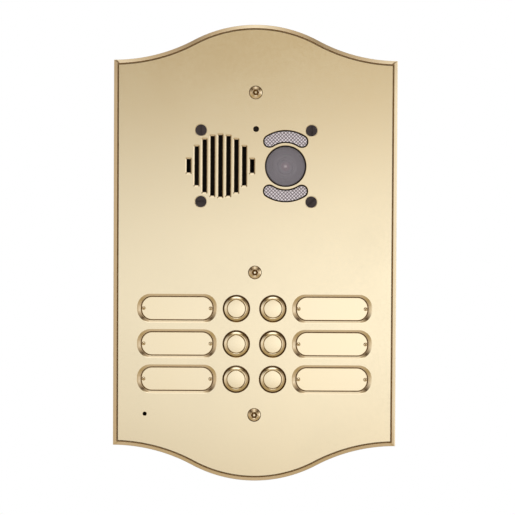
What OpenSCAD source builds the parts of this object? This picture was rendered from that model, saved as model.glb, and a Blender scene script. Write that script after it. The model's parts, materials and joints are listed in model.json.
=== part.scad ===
// Door intercom panel: a brass front plate with a crowned outline, screwed to a flush wall box.
// Behind the plate sit a loudspeaker and camera unit, six spring-loaded call buttons and a microphone.
// Every module is drawn face up, with x to the right, y up the door post and z towards the visitor.
// stand() then turns it upright, so the finished part has +Z up and its face towards -Y.

/* [Front plate] */
// Width of the plate
panel_w = 200; // [196:1:210]
// Height of the straight sides, corner to corner
side_h = 272.4; // [268:0.2:280]
// How far the crown and the foot swell beyond the corners
crown_rise = 25; // [24:0.5:26]
// Radius of the crown's convex arc
crown_r = 93.5; // [92:0.5:95]
// Thickness of the plate
plate_t = 4; // [4:0.1:4.5]
// Width of the moulded rim
rim_w = 3.5; // [3:0.1:4]
// Thickness of the rubber gasket between plate and wall
gasket_t = 1.5; // [1:0.1:2]

/* [Wall box] */
// Width of the flush box
box_w = 176; // [174:1:177]
// Height of the flush box
box_h = 250; // [249:1:251]
// Depth of the flush box
box_d = 48; // [46:1:60]
// Sheet thickness of the flush box
box_wall = 1.2; // [1:0.1:1.5]
// Diameter of the cable entries
entry_d = 20; // [16:1:25]
// Diameter of the wall fixing holes
fixing_d = 5.2; // [4:0.1:6]

/* [Loudspeaker and camera] */
// Height of the unit's centre line above the plate's centre
unit_y = 61.7; // [61:0.1:62.5]
// Sideways place of the loudspeaker
speaker_x = -24.7; // [-25:0.1:-24.4]
// Number of sound slots
slot_count = 9; // [9:2:9]
// Distance between sound slots
slot_pitch = 5.6; // [5.5:0.05:5.7]
// Width of a slot at the back of the plate
slot_w = 2.8; // [2.4:0.1:3.2]
// Width of a slot at the face
slot_mouth_w = 4.5; // [4:0.1:4.7]
// Radius of the round field that the slots fill
slot_field_r = 22.9; // [22.5:0.1:23]
// Sideways place of the camera
camera_x = 21.3; // [21:0.1:21.6]
// Diameter of the camera window
window_d = 29.2; // [28.5:0.1:29.4]
// Mean radius of the lamp windows around the camera
lamp_r = 20.9; // [20.7:0.1:21.1]
// Width of a lamp window
lamp_w = 9.1; // [8.5:0.1:9.2]
// Half angle of a lamp window, to the centre of its round end
lamp_angle = 33; // [30:1:34]
// Sideways spacing of the unit's four screws
unit_screw_dx = 78; // [77:0.5:79]
// Upright spacing of the unit's four screws
unit_screw_dy = 50.4; // [50:0.1:51]

/* [Call buttons] */
// Sideways place of the two button columns
button_x = 12.9; // [12.5:0.1:13.5]
// Height of the top row
button_top_y = -39; // [-40:0.5:-38]
// Distance between rows
button_pitch = 25; // [24:0.5:26]
// Diameter of a button's ring
bezel_d = 19.5; // [19:0.1:20]
// Diameter of a button's cap
cap_d = 12.7; // [12:0.1:13]
// Travel of a button
travel = 1.5; // [1:0.1:2]

/* [Nameplates] */
// Sideways place of the nameplates
name_x = 54.8; // [54:0.1:56]
// Length of a nameplate's recess at the face
recess_w = 56.5; // [54:0.5:57]
// Height of a nameplate's recess at the face
recess_h = 20.3; // [19:0.1:21]
// Corner radius of the recess at the face
recess_r = 9.3; // [8:0.1:9.5]
// Depth of the recess
recess_d = 2; // [1.5:0.1:2.2]
// Run of the recess's sloping wall
recess_slope = 1.9; // [1.5:0.1:2.2]

/* [Hidden] */
$fn = 96;
eps = 0.01;
back_z = gasket_t;
face_z = back_z + plate_t;
corner_y = side_h / 2;
half_w = panel_w / 2;

// The crown and each shoulder are tangent arcs, level at the apex and at the corner.
arc_sum = (half_w * half_w + crown_rise * crown_rise) / (2 * crown_rise);
shoulder_r = arc_sum - crown_r;
crown_cy = corner_y + crown_rise - crown_r;
shoulder_cy = corner_y + shoulder_r;

// The loudspeaker and camera unit.
unit_x = 0.5;
unit_w = 100;
unit_h = 64;
unit_cx = -2;
unit_wall = 2;
unit_front_z = back_z - unit_wall;
unit_back_z = -30;
cover_t = 2;
board_t = 1.6;
main_board_z = -26.6;
speaker_r = 22.5;
speaker_opening_r = 25;
window_flange_d = 30.5;
lamp_flange = 0.6;
flange_z = back_z - 0.65;
collar_gap = 0.1;
collar_w = 0.75;
collar_z = face_z - 1.25;
rib_w = 2.2;
gimbal_z = -14;
pin_d = 3;
running_gap = 0.05;
lug_y = [12.6, 15.8];
lens_r = 3.4;
trimmer_x = [-20, -8];
trimmer_y = 75;
trimmer_shaft_d = 1.6;
terminal_at = [-20, 48];
terminal_h = 11;
ribbon_x = 10;
ribbon_w = 14;
connector_y = 36;
connector_h = 3.2;
post_w = 7;

// The call buttons, numbered down the left column and then down the right.
BUTTONS = [for (side = [-1, 1]) for (row = [0:2])
    [side * button_x, button_top_y - row * button_pitch]];
NAMES = [for (side = [-1, 1]) for (row = [0:2])
    [side * name_x, button_top_y - row * button_pitch]];
barrel_d = 16;
barrel_end_z = -8;
skirt_d = 14.6;
skirt_bore_d = 14.8;
cap_bore_d = 13.3;
lip_z = 3.9;
bezel_top_z = face_z + 2.2;
cap_top_z = bezel_top_z - 0.3;
spring_top_z = 2.4;
nut_base_z = -8.3;
stem_end_z = -13;
tact_top_z = stem_end_z - travel - 0.2;
tact_body_z = tact_top_z - 1;
switch_board_z = tact_body_z - 3.5;
switch_board_y = button_top_y - button_pitch;

// The three tamper-proof screws on the centre line.
PLATE_SCREWS = [[0, 113.5], [0, -13.4], [0, -114.3]];
plate_screw_d = 4.9;
lug_z = -6;
lug_t = 3;

// The small openings.
sensor_at = [0.35, 87.8];
sensor_d = 4;
mic_at = [-77.5, -113.8];
mic_d = 2.8;

// The microphone's lead, clipped to the back of the plate.
lead_d = 2.2;
LEAD_ROUTE = [[-77.5, -105.6, -3.5], [-77.5, -103.6, -3.5], [-77.7, -100.5, -2.4], [-78.4, -96.5, -0.7],
    [-79.4, -92, 0.2], [-80.6, -86.5, 0.3], [-81.8, -79, 0.3], [-82.5, -70, 0.3], [-82.5, -58, 0.3],
    [-82.5, -46, 0.3], [-82.5, -34, 0.3], [-82.5, -22, 0.3], [-82.3, -10, 0.3], [-81, 0, 0.1],
    [-78, 8, -1.2], [-73.5, 14.5, -4.8], [-68, 18.5, -10], [-62.5, 20.8, -16.5], [-57.5, 22, -22.5],
    [-52, 22.8, -27.8], [-46.5, 23.3, -31.8], [-40.5, 24.2, -34.4], [-35, 26.2, -35.2],
    [-31, 29.8, -35.2], [-28.6, 33.8, -34.7], [-27.6, 38, -34.2], [-27.5, 43, -34.1]];

// Turns a module drawn face up into the upright frame.
module stand() {
    rotate([90, 0, 0]) children();
}

// Moves a child to a place on the plate, at a level.
module at(place, z = 0) {
    translate([place[0], place[1], z]) children();
}

// A closed tube swept along points, with rings square to the path.
function unit(v) = v / norm(v);
function tangent(path, i) = unit(path[min(i + 1, len(path) - 1)] - path[max(i - 1, 0)]);
function ring(path, i, r, sides) =
    let (t = tangent(path, i), side = unit(cross(t, [0.3, 0, 1])), up = cross(side, t))
    [for (k = [0:sides - 1]) path[i] + r * (cos(360 * k / sides) * side + sin(360 * k / sides) * up)];

module tube(path, r, sides) {
    n = len(path);
    points = [for (i = [0:n - 1]) each ring(path, i, r, sides)];
    walls = [for (i = [0:n - 2]) for (k = [0:sides - 1]) let (m = (k + 1) % sides)
        each [[i * sides + k, (i + 1) * sides + k, i * sides + m],
              [i * sides + m, (i + 1) * sides + k, (i + 1) * sides + m]]];
    start = [for (k = [1:sides - 2]) [0, k, k + 1]];
    end = [for (k = [1:sides - 2]) [(n - 1) * sides, (n - 1) * sides + k + 1, (n - 1) * sides + k]];
    polyhedron(points = points, faces = concat(walls, start, end), convexity = 10);
}

// ---- outlines ----

// The plate's outline, moved in by inset.
module outline(inset = 0) {
    crown_ri = crown_r - inset;
    toward = unit([half_w, shoulder_cy - crown_cy]);
    meet_y = crown_cy + crown_ri * toward[1];
    difference() {
        square([2 * (half_w - inset), 2 * meet_y], center = true);
        for (sx = [-1, 1], sy = [-1, 1])
            translate([sx * half_w, sy * shoulder_cy]) circle(r = shoulder_r + inset, $fn = 256);
    }
    for (sy = [-1, 1])
        intersection() {
            translate([0, sy * crown_cy]) circle(r = crown_ri, $fn = 256);
            translate([0, sy * (meet_y + half_w / 2 - eps)]) square([panel_w, half_w], center = true);
        }
}

// A ring segment with round ends, as the lamp windows have.
module lamp_outline(grow = 0) {
    steps = 24;
    end_steps = 12;
    r = lamp_w / 2 + grow;
    polygon([
        for (k = [0:steps]) let (a = 90 - lamp_angle + 2 * lamp_angle * k / steps)
            (lamp_r + r) * [cos(a), sin(a)],
        for (k = [1:end_steps - 1]) let (a = 90 + lamp_angle, b = a + 180 * k / end_steps)
            lamp_r * [cos(a), sin(a)] + r * [cos(b), sin(b)],
        for (k = [0:steps]) let (a = 90 + lamp_angle - 2 * lamp_angle * k / steps)
            (lamp_r - r) * [cos(a), sin(a)],
        for (k = [1:end_steps - 1]) let (a = 90 - lamp_angle, b = a + 180 + 180 * k / end_steps)
            lamp_r * [cos(a), sin(a)] + r * [cos(b), sin(b)]]);
}

// A rectangle with round corners, from two bars and four discs.
module rounded(w, h, r) {
    square([w - 2 * r, h], center = true);
    square([w, h - 2 * r], center = true);
    for (sx = [-1, 1], sy = [-1, 1])
        translate([sx * (w / 2 - r), sy * (h / 2 - r)]) circle(r = r);
}

// ---- cutters for the front plate ----

// Half length of the slot that stands dx from the middle of the round field.
function slot_half(dx) = abs(dx) > 20 ? 5.4 : sqrt(slot_field_r * slot_field_r - dx * dx);

module slot_cutter(dx) {
    half = slot_half(dx);
    slope = (slot_mouth_w - slot_w) / 2;
    translate([dx, 0, face_z]) {
        translate([0, 0, -plate_t / 2]) cube([slot_w, 2 * half - 2 * slope, plate_t + 1], center = true);
        rotate([90, 0, 0])
            linear_extrude(2 * half, center = true)
                polygon([[-slot_w / 2, -1.2], [slot_w / 2, -1.2], [slot_mouth_w / 2, eps],
                    [-slot_mouth_w / 2, eps]]);
    }
}

// The nameplate recess: four cones at the corners joined by two tapered bars.
module recess_cutter() {
    top = recess_d + eps;
    inner_r = recess_r - recess_slope;
    cx = recess_w / 2 - recess_r;
    cy = recess_h / 2 - recess_r;
    translate([0, 0, face_z - recess_d]) {
        for (sx = [-1, 1], sy = [-1, 1])
            translate([sx * cx, sy * cy]) cylinder(r1 = inner_r, r2 = recess_r, h = top);
        rotate([90, 0, 90])
            linear_extrude(2 * cx, center = true)
                polygon([[-cy - inner_r, 0], [cy + inner_r, 0],
                    [cy + recess_r, top], [-cy - recess_r, top]]);
        rotate([90, 0, 0])
            linear_extrude(2 * cy, center = true)
                polygon([[-cx - inner_r, 0], [cx + inner_r, 0],
                    [cx + recess_r, top], [-cx - recess_r, top]]);
    }
}

module through(d) {
    translate([0, 0, back_z - 1]) cylinder(d = d, h = plate_t + 2);
}

// ---- plate, gasket and wall box ----

module front_plate() {
    color("goldenrod") stand()
        difference() {
            union() {
                translate([0, 0, back_z]) linear_extrude(plate_t - 1.4) outline();
                translate([0, 0, back_z]) linear_extrude(plate_t - 0.6) outline(1.2);
                translate([0, 0, back_z]) linear_extrude(plate_t) outline(rim_w);
            }
            for (i = [0:slot_count - 1])
                translate([speaker_x, unit_y]) slot_cutter((i - (slot_count - 1) / 2) * slot_pitch);
            at([camera_x, unit_y]) through(window_d);
            for (turn = [0, 180])
                at([camera_x, unit_y], back_z - 1) rotate(turn) linear_extrude(plate_t + 2) lamp_outline();
            for (place = unit_screw_places()) {
                at(place) through(4);
                at(place, face_z - 2.4) cylinder(d = 8.5, h = 3);
            }
            at(sensor_at) through(sensor_d);
            at(mic_at) through(mic_d);
            for (place = PLATE_SCREWS) at(place) through(5.5);
            for (place = BUTTONS) at(place) through(barrel_d + 0.2);
            for (place = NAMES) {
                at(place) recess_cutter();
                for (sx = [-1, 1]) at(place + [sx * 23.65, 0]) through(1.8);
            }
        }
}

module plate_gasket() {
    color("dimgray") stand()
        linear_extrude(gasket_t) difference() {
            outline(2);
            outline(10);
        }
}

module back_box() {
    lip = -0.5;
    color("silver") stand()
        difference() {
            translate([-box_w / 2, -box_h / 2, -box_d]) cube([box_w, box_h, box_d + lip]);
            translate([-box_w / 2 + box_wall, -box_h / 2 + box_wall, -box_d + box_wall])
                cube([box_w - 2 * box_wall, box_h - 2 * box_wall, box_d + 1]);
            for (sx = [-1, 1], sy = [-1, 1])
                at([sx * 60, sy * 95], -box_d - 1) cylinder(d = fixing_d, h = box_wall + 2);
            for (sx = [-1, 1], sy = [-1, 1])
                translate([sx * 45, sy * box_h / 2, -box_d / 2])
                    rotate([90, 0, 0]) cylinder(d = entry_d, h = 4 * box_wall, center = true);
        }
}

// Welded lugs that take the plate's screws: one at each end of the box and a bar across its middle.
module screw_lugs() {
    wall_y = box_h / 2 - box_wall;
    color("silver") stand() {
        for (i = [0, 2]) let (place = PLATE_SCREWS[i], s = sign(place[1]), reach = wall_y - abs(place[1]))
            difference() {
                union() {
                    translate([-12, s > 0 ? place[1] - 9 : -wall_y, lug_z]) cube([24, reach + 9, lug_t]);
                    translate([-12, s > 0 ? wall_y - 2 : -wall_y, lug_z - 14]) cube([24, 2, 14 + eps]);
                }
                at(place, lug_z - 1) cylinder(d = plate_screw_d + 0.1, h = lug_t + 2);
            }
        difference() {
            union() {
                at(PLATE_SCREWS[1], lug_z) translate([-box_w / 2 + box_wall, -8, 0])
                    cube([box_w - 2 * box_wall, 16, lug_t]);
                for (s = [-1, 1])
                    at(PLATE_SCREWS[1], lug_z - 10)
                        translate([s * (box_w / 2 - box_wall - 1) - 1, -8, 0]) cube([2, 16, 10 + eps]);
            }
            at(PLATE_SCREWS[1], lug_z - 1) cylinder(d = plate_screw_d + 0.1, h = lug_t + 2);
        }
    }
}

// Tamper-proof button-head screws: a hex socket with a pin standing in it.
module plate_screws() {
    color("goldenrod") stand()
        for (place = PLATE_SCREWS)
            at(place) {
                difference() {
                    union() {
                        translate([0, 0, -9]) cylinder(d = plate_screw_d, h = face_z + 9 + eps);
                        translate([0, 0, face_z]) rotate_extrude() button_head(4.8, 2.7);
                    }
                    translate([0, 0, face_z + 0.6]) cylinder(d = 4.62, h = 4, $fn = 6);
                }
                translate([0, 0, face_z + 0.4]) cylinder(d = 2.1, h = 2);
            }
}

// Half the section of a domed screw head.
module button_head(r, h) {
    sphere_r = (r * r + h * h) / (2 * h);
    intersection() {
        translate([0, h - sphere_r]) circle(r = sphere_r);
        square([r, h]);
    }
}

// ---- nameplates ----

module nameplate(i) {
    w = recess_w - 2 * recess_slope - 0.3;
    h = recess_h - 2 * recess_slope - 0.3;
    color("gold") stand()
        at(NAMES[i - 1], face_z - recess_d)
            difference() {
                linear_extrude(1) rounded(w, h, recess_r - recess_slope - 0.15);
                for (sx = [-1, 1]) translate([sx * 23.65, 0, -1]) cylinder(d = 1.8, h = 3);
            }
}

module nameplate_screws() {
    color("goldenrod") stand()
        for (place = NAMES, sx = [-1, 1])
            at(place + [sx * 23.65, 0], face_z - recess_d) difference() {
                union() {
                    translate([0, 0, -1.9]) cylinder(d = 1.7, h = 3);
                    translate([0, 0, 1]) cylinder(d = 2.7, h = 0.7);
                }
                translate([0, 0, 1.9]) cube([3, 0.5, 0.9], center = true);
            }
}

// ---- call buttons ----

// The ring and its threaded barrel. The lip inside keeps the cap from coming out.
module button_bezel(i) {
    r = bezel_d / 2;
    color("goldenrod") stand()
        at(BUTTONS[i - 1]) rotate_extrude() polygon([
            [skirt_bore_d / 2, barrel_end_z], [barrel_d / 2, barrel_end_z], [barrel_d / 2, face_z],
            [r, face_z], [r, face_z + 0.4], [r - 1, face_z + 1.5], [r - 1.6, face_z + 1.9],
            [r - 2.4, bezel_top_z], [cap_bore_d / 2 + 0.3, bezel_top_z], [cap_bore_d / 2, bezel_top_z - 0.3],
            [cap_bore_d / 2, lip_z], [skirt_bore_d / 2, lip_z]]);
}

// The cap, its guide skirt and the stem that presses the switch.
module button_cap(i) {
    r = cap_d / 2;
    skirt_top = lip_z - 0.05;
    color("gold") stand()
        at(BUTTONS[i - 1]) rotate_extrude() polygon([
            [0, stem_end_z], [2, stem_end_z], [2, spring_top_z], [5.8, spring_top_z], [5.8, -1.2],
            [skirt_d / 2, -1.2], [skirt_d / 2, skirt_top], [r, skirt_top], [r, cap_top_z - 0.4],
            [r - 0.4, cap_top_z], [0, cap_top_z]]);
}

// A compression spring around the stem, from the nut's base to the cap.
module button_spring(i) {
    wire_r = 0.35;
    coil_r = 4.4;
    turns = 5;
    per_turn = 12;
    low = nut_base_z + wire_r + 0.02;
    high = spring_top_z - wire_r - 0.02;
    color("lightgray") stand()
        at(BUTTONS[i - 1]) tube([for (k = [0:turns * per_turn]) let (a = 360 * k / per_turn)
            [coil_r * cos(a), coil_r * sin(a), low + (high - low) * k / (turns * per_turn)]], wire_r, 6);
}

// Closed nuts that clamp the rings from behind and seat the springs.
module cap_nuts() {
    color("silver") stand()
        for (place = BUTTONS)
            at(place) difference() {
                translate([0, 0, nut_base_z - 1.6])
                    linear_extrude(back_z - nut_base_z + 1.6) circle(d = 22, $fn = 6);
                translate([0, 0, nut_base_z]) cylinder(d = barrel_d + 0.1, h = 20);
                translate([0, 0, nut_base_z - 3]) cylinder(d = 4.8, h = 6);
            }
}

function standoff_places() = [for (sx = [-1, 1], sy = [-1, 1]) [sx * 28, switch_board_y + sy * 35]];

module switch_board() {
    color("darkgreen") stand()
        difference() {
            union() {
                at([0, switch_board_y], switch_board_z - board_t)
                    translate([-32, -39, 0]) cube([64, 78, board_t]);
                at([ribbon_x, switch_board_y + 30], switch_board_z - board_t - 4)
                    translate([-9, -3, 0]) cube([18, 6, 4 + eps]);
            }
            for (place = standoff_places()) at(place, switch_board_z - 3) cylinder(d = 3.4, h = 5);
        }
}

module tact_switches() {
    color("dimgray") stand()
        for (place = BUTTONS)
            at(place) {
                translate([0, 0, switch_board_z + 1.75]) cube([6, 6, 3.5], center = true);
                translate([0, 0, tact_body_z - eps]) cylinder(d = 3.4, h = 1 + eps);
            }
}

module board_standoffs() {
    color("goldenrod") stand()
        for (place = standoff_places())
            at(place, switch_board_z) difference() {
                linear_extrude(back_z - switch_board_z) circle(d = 6.4, $fn = 6);
                translate([0, 0, -1]) cylinder(d = 3, h = 9);
            }
}

// Pan-head screws, all alike: the switch board's, the unit cover's and the camera shroud's.
module board_screws() {
    color("silver") stand() {
        for (place = standoff_places()) at(place, switch_board_z - board_t) pan_screw(7);
        for (place = cover_screw_places()) at(place, unit_back_z - cover_t) pan_screw(7);
        for (place = shroud_screw_places()) at(place, -4.1) pan_screw(4.8);
    }
}

// A small screw that points towards the face, its head behind level zero.
module pan_screw(length) {
    head_h = 2;
    difference() {
        union() {
            translate([0, 0, -head_h]) cylinder(d = 5.4, h = head_h);
            translate([0, 0, -eps]) cylinder(d = 2.9, h = length + eps);
        }
        translate([0, 0, -head_h]) cube([6, 0.8, 1.6], center = true);
    }
}

// ---- loudspeaker and camera unit ----

function cover_screw_places() = let (inset = unit_wall + post_w / 2) [for (sx = [-1, 1], sy = [-1, 1])
    [unit_cx + sx * (unit_w / 2 - inset), unit_y + sy * (unit_h / 2 - inset)]];
function shroud_screw_places() = [for (sx = [-1, 1]) [camera_x + sx * 18.6, unit_y]];
function unit_screw_places() = [for (sx = [-1, 1], sy = [-1, 1])
    [unit_x + sx * unit_screw_dx / 2, unit_y + sy * unit_screw_dy / 2]];

module unit_housing() {
    inner_w = unit_w - 2 * unit_wall;
    inner_h = unit_h - 2 * unit_wall;
    color("dimgray") stand()
        difference() {
            union() {
                difference() {
                    at([unit_cx, unit_y], unit_back_z) linear_extrude(back_z - unit_back_z)
                        square([unit_w, unit_h], center = true);
                    at([unit_cx, unit_y], unit_back_z - 1) linear_extrude(unit_front_z - unit_back_z + 1)
                        square([inner_w, inner_h], center = true);
                }
                for (place = unit_screw_places()) at(place, -14) cylinder(d = 8, h = 14);
                for (sx = [-1, 1]) {
                    for (sy = [-1, 1])
                        at([unit_cx + sx * (inner_w - post_w) / 2, unit_y + sy * (inner_h - post_w) / 2],
                            unit_back_z) linear_extrude(-unit_back_z) square(post_w + eps, center = true);
                    at([unit_cx + sx * (inner_w - rib_w) / 2, unit_y], main_board_z + board_t)
                        linear_extrude(-main_board_z - board_t) square([rib_w + eps, 24], center = true);
                }
                collars();
            }
            at([speaker_x, unit_y]) through(2 * speaker_opening_r);
            at([speaker_x, unit_y], -1) cylinder(r = speaker_opening_r, h = 3);
            at([camera_x, unit_y], -1) {
                cylinder(d = window_flange_d + 0.9, h = flange_z + 1);
                cylinder(d = window_d - 2 * (collar_gap + collar_w), h = face_z + 1);
                for (turn = [0, 180]) rotate(turn) {
                    linear_extrude(flange_z + 1) lamp_outline(lamp_flange + 0.2);
                    linear_extrude(face_z + 1) lamp_outline(-collar_gap - collar_w);
                }
            }
            at(sensor_at, -1) cylinder(d = sensor_d, h = 3);
            for (place = unit_screw_places()) at(place, -12) cylinder(d = 3.6, h = 15);
            for (place = cover_screw_places()) at(place, unit_back_z - 1) cylinder(d = 3, h = 9);
            for (place = shroud_screw_places()) at(place, unit_front_z - 1) cylinder(d = 3, h = 2.4);
        }
}

// Thin black collars that line the plate's camera hole and lamp holes.
module collars() {
    at([camera_x, unit_y], flange_z) {
        cylinder(d = window_d - 2 * collar_gap, h = collar_z - flange_z);
        for (turn = [0, 180])
            rotate(turn) linear_extrude(collar_z - flange_z) lamp_outline(-collar_gap);
    }
}

module unit_cover() {
    color("dimgray") stand()
        difference() {
            at([unit_cx, unit_y], unit_back_z - cover_t) linear_extrude(cover_t)
                square([unit_w, unit_h], center = true);
            at(terminal_at, unit_back_z - 3) linear_extrude(4) square([41, 13], center = true);
            for (x = trimmer_x) at([x, trimmer_y], unit_back_z - 3) cylinder(d = 5.4, h = 4);
            at([ribbon_x, connector_y - 2], unit_back_z - 3)
                linear_extrude(4) square([20, 5.6], center = true);
            for (place = cover_screw_places()) at(place, unit_back_z - 3) cylinder(d = 3.4, h = 4);
        }
}

// Slotted dark screws that hold the unit from the front.
module unit_screws() {
    slot_turn = [0, 90, 45, 90];
    color("darkslategray") stand()
        for (i = [0:3])
            at(unit_screw_places()[i], face_z - 2.35) difference() {
                union() {
                    translate([0, 0, -13]) cylinder(d = 3.5, h = 13 + eps);
                    cylinder(d = 8, h = 2.15);
                }
                translate([0, 0, 2.1]) rotate(slot_turn[i]) cube([9, 1, 1.6], center = true);
            }
}

module speaker_mesh() {
    color("black") stand()
        at([speaker_x, unit_y], back_z - 0.5) cylinder(r = speaker_opening_r - 0.2, h = 0.5);
}

module speaker_frame() {
    color("gray") stand()
        at([speaker_x, unit_y], unit_front_z) rotate_extrude() polygon([
            [19.5, -1.8], [12, -11], [8.5, -11], [8.5, -12.2], [13, -12.2], [21, -1.8], [speaker_r, -1.8],
            [speaker_r, 0], [19.5, 0]]);
}

module speaker_cone() {
    color("black") stand()
        at([speaker_x, unit_y], unit_front_z) rotate_extrude() polygon([
            [0, -4.6], [2.5, -5], [5, -6.2], [6.5, -8], [12, -5.2], [16.8, -1.9], [17.8, -1], [18.8, -1.2],
            [19.4, -1.2], [19.4, -1.7], [18.8, -1.7], [17.8, -1.5], [16.6, -2.5], [12, -5.8],
            [6.9, -8.4], [6.9, -13.4], [6.4, -13.4], [6.4, -8.6], [4.8, -6.7], [2.4, -5.5], [0, -5.1]]);
}

module speaker_magnet() {
    color("darkgray") stand()
        at([speaker_x, unit_y], unit_front_z) rotate_extrude() polygon([
            [7.3, -12.3], [15, -12.3], [15, -19], [0, -19], [0, -12.3], [6, -12.3], [6, -14.5],
            [7.3, -14.5]]);
}

module camera_window() {
    flange_top = flange_z - 0.05;
    r = window_d / 2 - 2 * collar_gap - collar_w;
    color("slategray", 0.5) stand()
        at([camera_x, unit_y]) rotate_extrude() polygon([
            [0, 0], [window_flange_d / 2, 0], [window_flange_d / 2, flange_top], [r, flange_top],
            [r, face_z - 1.1], [0, face_z - 1.1]]);
}

// The dark ring behind the window, with two lugs that carry the camera's upright axle.
module camera_shroud() {
    lug_w = 8;
    color("black") stand()
        at([camera_x, unit_y]) difference() {
            union() {
                rotate_extrude()
                    polygon([[8.3, -2.6], [15.2, -2.6], [15.2, -0.1], [14.5, -0.1], [8.3, -1.9]]);
                for (s = [-1, 1]) {
                    translate([-lug_w / 2, s > 0 ? lug_y[0] : -lug_y[1], gimbal_z - 4])
                        cube([lug_w, lug_y[1] - lug_y[0], -2.6 - gimbal_z + 4 + eps]);
                    translate([s > 0 ? 14.2 : -21, -5, -2.5]) cube([6.8, 10, 2]);
                }
            }
            for (s = [-1, 1]) translate([s * 18.6, 0, -3]) cylinder(d = 3.2, h = 4);
            translate([0, 0, gimbal_z]) rotate([90, 0, 0])
                cylinder(d = pin_d + 2 * running_gap, h = 60, center = true);
        }
}

// The frame that turns to the sides, with its axle pins above and below.
module camera_yoke() {
    color("gray") stand()
        at([camera_x, unit_y], gimbal_z) difference() {
            union() {
                difference() {
                    cube([28, 23.6, 6], center = true);
                    cube([20, 18, 8], center = true);
                }
                for (s = [-1, 1])
                    translate([0, s * (11.8 - eps), 0]) rotate([-s * 90, 0, 0])
                        cylinder(d = pin_d, h = lug_y[1] - 11.8);
            }
            rotate([0, 90, 0]) cylinder(d = pin_d + 2 * running_gap, h = 40, center = true);
        }
}

// The camera head, which tilts in the frame on two side pins.
module camera_body() {
    color("dimgray") stand()
        at([camera_x, unit_y], gimbal_z) {
            difference() {
                union() {
                    translate([-9, -8, -7]) cube([18, 16, 12]);
                    translate([0, 0, 5 - eps]) cylinder(d = 12, h = 5.6);
                }
                translate([0, 0, 8.6]) cylinder(r = lens_r + 0.1, h = 3);
            }
            for (s = [-1, 1])
                translate([s * (9 - eps), 0, 0]) rotate([0, s * 90, 0]) cylinder(d = pin_d, h = 4.4);
        }
}

module camera_lens() {
    dome_r = 7;
    color("midnightblue") stand()
        at([camera_x, unit_y], gimbal_z + 8.6) intersection() {
            cylinder(r = lens_r, h = 2);
            translate([0, 0, 1.8 - dome_r]) sphere(r = dome_r);
        }
}

module lamp_diffuser(turn) {
    color("thistle") stand()
        at([camera_x, unit_y], 0.2) rotate(turn) {
            linear_extrude(flange_z - 0.25) lamp_outline(lamp_flange);
            linear_extrude(face_z - 1.3) lamp_outline(-2 * collar_gap - collar_w);
        }
}

// One board around the camera with five lamps above and five below.
module lamp_board() {
    color("darkgreen") stand()
        at([camera_x, unit_y]) {
            difference() {
                intersection() {
                    translate([0, 0, -4.1]) cylinder(r = 22.9, h = board_t);
                    translate([-20.5, -30, -6]) cube([41, 60, 6]);
                }
                translate([0, 0, -6]) cylinder(r = 16.9, h = 6);
                for (s = [-1, 1]) translate([s * 18.6, 0, -6]) cylinder(d = 3.2, h = 6);
            }
            for (turn = [0, 180], k = [-2:2])
                rotate(turn + k * 15) translate([0, 20.3, -1.75]) cube([3.2, 2.8, 1.5], center = true);
        }
}

// A light pipe that lets the unit tell day from night.
module light_sensor() {
    color("black") stand()
        at(sensor_at) {
            translate([0, 0, unit_front_z - 2]) cylinder(d = 7, h = 2);
            translate([0, 0, unit_front_z - eps]) cylinder(d = sensor_d - 0.3, h = face_z - 1.2);
        }
}

module main_board() {
    board_w = unit_w - 2 * unit_wall - 1;
    board_h = unit_h - 2 * unit_wall - 1;
    color("darkgreen") stand() {
        at([unit_cx, unit_y], main_board_z)
            linear_extrude(board_t) difference() {
                square([board_w, board_h], center = true);
                for (sx = [-1, 1], sy = [-1, 1])
                    translate([sx * board_w / 2, sy * board_h / 2]) square(2 * post_w, center = true);
            }
        at([10, 78], main_board_z - 1.4) linear_extrude(1.4 + eps) square([10, 10], center = true);
        at([26, 60], main_board_z - 1.4) linear_extrude(1.4 + eps) square([14, 14], center = true);
        at([36, 78], main_board_z - 3) cylinder(d = 8, h = 3 + eps);
        at([ribbon_x, connector_y], main_board_z - connector_h)
            linear_extrude(connector_h + eps) square([18, 5.4], center = true);
    }
}

module trimmer_bases() {
    color("steelblue") stand()
        for (x = trimmer_x)
            at([x, trimmer_y], main_board_z - 3.3) difference() {
                linear_extrude(3.3) square([6.6, 6.6], center = true);
                translate([0, 0, -1]) cylinder(d = trimmer_shaft_d + 2 * running_gap, h = 3);
            }
}

module volume_trimmer(i) {
    color("white") stand()
        at([trimmer_x[i - 1], trimmer_y], unit_back_z - 1.7) difference() {
            union() {
                cylinder(d = 4.6, h = 1.5);
                cylinder(d = trimmer_shaft_d, h = 3);
            }
            cube([3.6, 0.8, 1.6], center = true);
        }
}

module terminal_block() {
    poles = 8;
    pitch = 5;
    color("green") stand()
        at(terminal_at, main_board_z - terminal_h) difference() {
            linear_extrude(terminal_h) square([poles * pitch, 12], center = true);
            for (k = [0:poles - 1]) translate([(k - (poles - 1) / 2) * pitch, 0, 0]) {
                translate([0, 1.5, -1]) cylinder(d = 3.6, h = 4);
                translate([0, -5, 3.5]) cube([3.4, 6, 4], center = true);
            }
        }
}

// A flat cable that hangs in a slack curve from the unit to the switch board.
module ribbon_cable() {
    t = 0.9;
    slack = 8;
    steps = 20;
    top = [connector_y - 1.5, main_board_z - connector_h];
    low = [switch_board_y + 30, switch_board_z - board_t - 4];
    line = [for (k = [0:steps]) let (u = k / steps)
        [top[0] + (low[0] - top[0]) * (3 * u * u - 2 * u * u * u),
         top[1] + (low[1] - top[1]) * u - slack * sin(180 * u)]];
    color("gainsboro") stand()
        translate([ribbon_x, 0, 0]) rotate([90, 0, 90]) linear_extrude(ribbon_w, center = true)
            polygon(concat(line, [for (k = [steps:-1:0]) line[k] - [0, t]]));
}

// ---- microphone ----

module microphone() {
    color("silver") stand()
        at(mic_at, -6.5) cylinder(d = 6, h = 5);
}

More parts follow.
